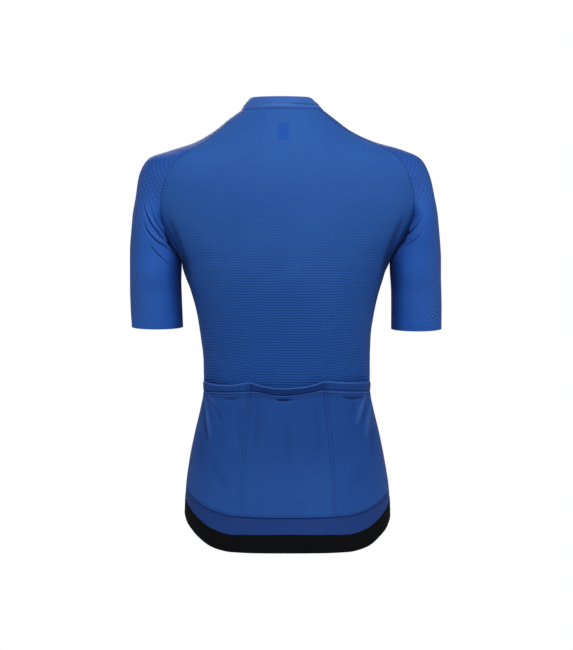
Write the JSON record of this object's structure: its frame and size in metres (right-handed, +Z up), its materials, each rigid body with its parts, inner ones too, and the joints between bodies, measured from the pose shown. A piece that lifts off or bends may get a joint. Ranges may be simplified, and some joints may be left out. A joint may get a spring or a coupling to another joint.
{
  "type": "cycling jersey",
  "caption": "Short-sleeved raglan cycling jersey with a low stand collar, a full front zip, back pockets and a gripper hem, filled out as worn.",
  "frame": {"origin": "the middle of the neck, level with the collar's seam at its sides", "axes": "+Z up, -Y out from the chest, +X to the wearer's left"},
  "size_m": [0.4522, 0.2413, 0.6518],
  "materials": {
    "body_knit": "fine ribbed stretch mesh, matte",
    "sleeve_knit": "dimpled stretch knit, soft sheen",
    "pocket_knit": "smooth stretch knit, soft sheen",
    "elastic": "matte woven elastic",
    "label_film": "bonded film, matte",
    "zip_nylon": "woven tape and nylon coil",
    "zip_metal": "dark enamel"
  },
  "bodies": {
    "garment": {"back_panel": "body_knit", "front_left": "body_knit", "front_right": "body_knit", "sleeve_left": "sleeve_knit", "sleeve_right": "sleeve_knit", "collar": "sleeve_knit", "pocket_panel": "pocket_knit", "hem_grip": "elastic", "neck_label": "label_film", "zip_chain": "zip_nylon", "zip_slider": "zip_metal"},
    "pull": {"zip_pull": "zip_metal"}
  },
  "joints": [
    {"name": "pull_swing", "type": "hinge", "parent": "garment", "child": "pull", "pos_m": [0.00757, -0.05481, -0.0325], "axis": [-1, 0, 0], "range_deg": [0, 170]}
  ]
}
